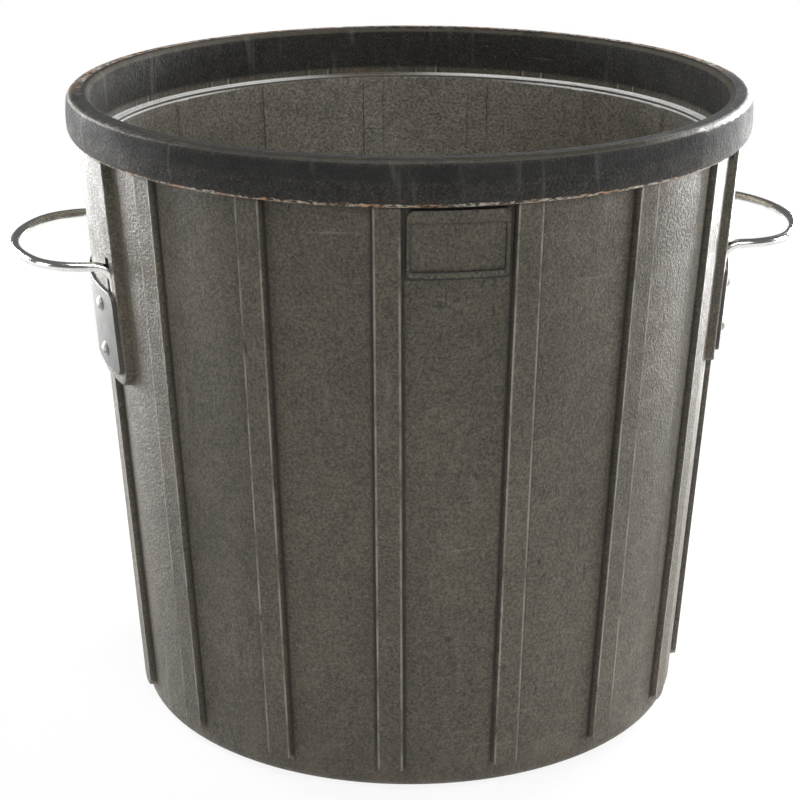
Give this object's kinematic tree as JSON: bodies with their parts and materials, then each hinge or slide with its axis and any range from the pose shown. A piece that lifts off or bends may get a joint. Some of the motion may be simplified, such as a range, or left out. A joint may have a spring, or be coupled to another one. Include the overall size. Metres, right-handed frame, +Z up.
{
  "type": "rubber trash can",
  "caption": "Round ribbed rubber bin with a thick collar, a lid ledge inside and a steel rod loop handle on each side.",
  "frame": {"origin": "middle of the underside, on the floor", "axes": "+Z up, -Y towards the front with the blank name frame, +X along the line through both handles"},
  "size_m": [0.6182, 0.524, 0.49],
  "materials": {
    "rubber": "worn, fine grained, satin",
    "handle_steel": "bright zinc plate",
    "black_plate": "black paint, semi-gloss",
    "rivet_steel": "dull zinc"
  },
  "bodies": {
    "root": {"tub": "rubber", "handle_left": "handle_steel", "handle_right": "handle_steel", "clamp_plate_left": "black_plate", "clamp_plate_right": "black_plate", "backing_strip_left_front": "black_plate", "backing_strip_left_back": "black_plate", "backing_strip_right_front": "black_plate", "backing_strip_right_back": "black_plate", "rivet_left_front_upper": "rivet_steel", "rivet_left_front_lower": "rivet_steel", "rivet_left_back_upper": "rivet_steel", "rivet_left_back_lower": "rivet_steel", "rivet_right_front_upper": "rivet_steel", "rivet_right_front_lower": "rivet_steel", "rivet_right_back_upper": "rivet_steel", "rivet_right_back_lower": "rivet_steel"}
  },
  "joints": []
}
